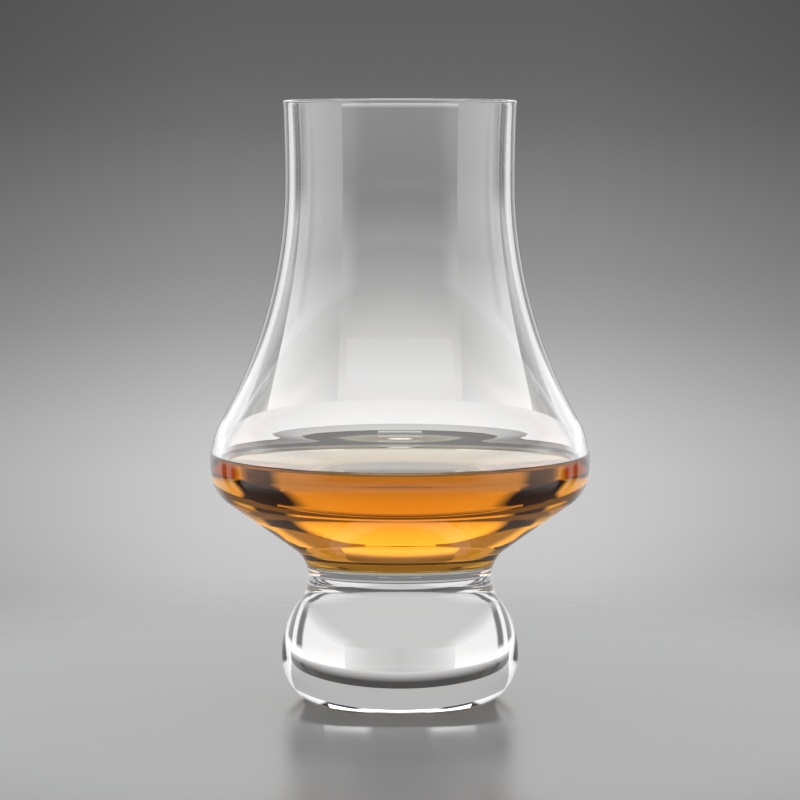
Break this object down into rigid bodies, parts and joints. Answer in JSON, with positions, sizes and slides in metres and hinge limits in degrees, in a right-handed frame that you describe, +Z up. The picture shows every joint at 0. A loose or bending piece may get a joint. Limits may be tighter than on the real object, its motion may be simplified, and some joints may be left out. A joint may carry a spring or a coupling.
{
  "type": "whisky nosing glass",
  "caption": "Crystal whisky nosing glass: wide low belly drawn up into a tall narrow chimney, on a heavy solid crystal foot, with a dram of amber whisky in it.",
  "frame": {"origin": "centre of the foot's bearing ring, on the surface that the glass stands on", "axes": "+Z up along the glass's own axis; the glass is the same all the way round, so +X and +Y may point anywhere"},
  "size_m": [0.076, 0.076, 0.1195],
  "materials": {
    "bowl_crystal": "clear lead-free crystal, blown and fire-polished, with a cold-cut rim polished flat",
    "foot_crystal": "clear lead-free crystal, solid, shaped hot and fire-polished",
    "whisky": "clear amber whisky with a still surface"
  },
  "bodies": {
    "root": {"bowl": "bowl_crystal", "foot": "foot_crystal", "whisky": "whisky"}
  },
  "joints": []
}
